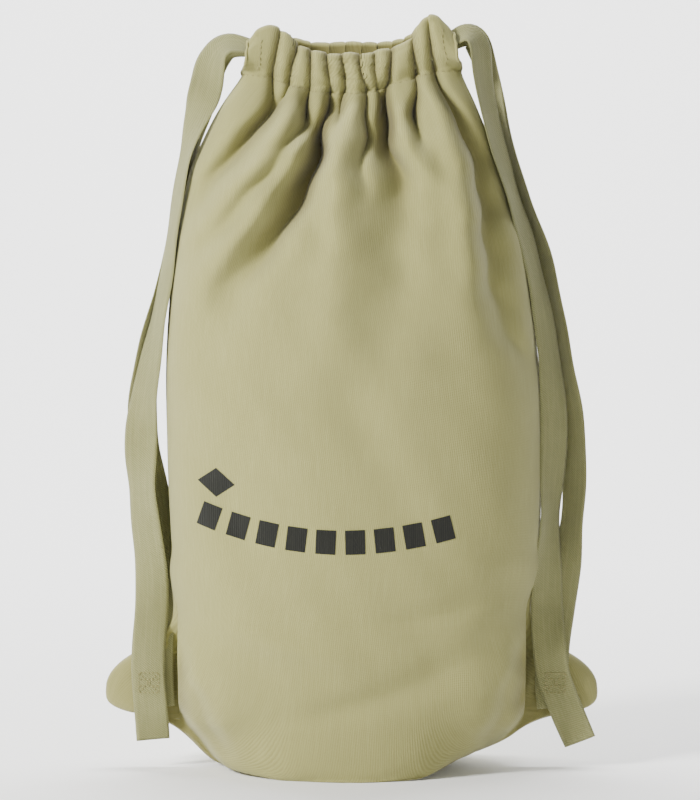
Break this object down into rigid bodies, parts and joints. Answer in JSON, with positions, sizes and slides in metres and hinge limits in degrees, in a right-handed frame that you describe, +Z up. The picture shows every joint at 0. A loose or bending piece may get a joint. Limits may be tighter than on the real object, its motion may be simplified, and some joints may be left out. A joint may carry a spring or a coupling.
{
  "type": "drawstring shoe bag",
  "caption": "Filled canvas shoe bag that stands upright, with a gathered drawstring channel at the top and flat tape straps sewn to the bottom corners.",
  "frame": {"origin": "on the floor, under the middle of the standing bag", "axes": "+Z up; the printed front faces -Y; +X to the right of someone who looks at the front"},
  "size_m": [0.298, 0.1511, 0.45],
  "materials": {
    "canvas": "matte",
    "tape": "matte",
    "thread": "matte",
    "ink": "matte"
  },
  "bodies": {
    "bag": {"front_panel": "canvas", "rear_panel": "canvas", "front_print": "ink", "left_side_seam": "thread", "right_side_seam": "thread", "bottom_seam": "thread", "front_channel_stitching": "thread", "rear_channel_stitching": "thread", "front_left_end_stitching": "thread", "rear_left_end_stitching": "thread", "front_right_end_stitching": "thread", "rear_right_end_stitching": "thread", "left_corner_bartack": "thread", "right_corner_bartack": "thread"},
    "left_tape": {"left_drawstring": "tape"},
    "right_tape": {"right_drawstring": "tape"}
  },
  "joints": [
    {"name": "left_drawstring_pull", "type": "slide", "parent": "bag", "child": "left_tape", "axis": [-1, 0, 0], "range_m": [0, 0.028], "deforming": ["front_panel", "rear_panel", "front_channel_stitching", "rear_channel_stitching", "front_left_end_stitching", "rear_left_end_stitching", "front_right_end_stitching", "rear_right_end_stitching", "left_drawstring"]},
    {"name": "right_drawstring_pull", "type": "slide", "parent": "bag", "child": "right_tape", "axis": [1, 0, 0], "range_m": [0, 0.028], "deforming": ["front_panel", "rear_panel", "front_channel_stitching", "rear_channel_stitching", "front_left_end_stitching", "rear_left_end_stitching", "front_right_end_stitching", "rear_right_end_stitching", "right_drawstring"]}
  ]
}
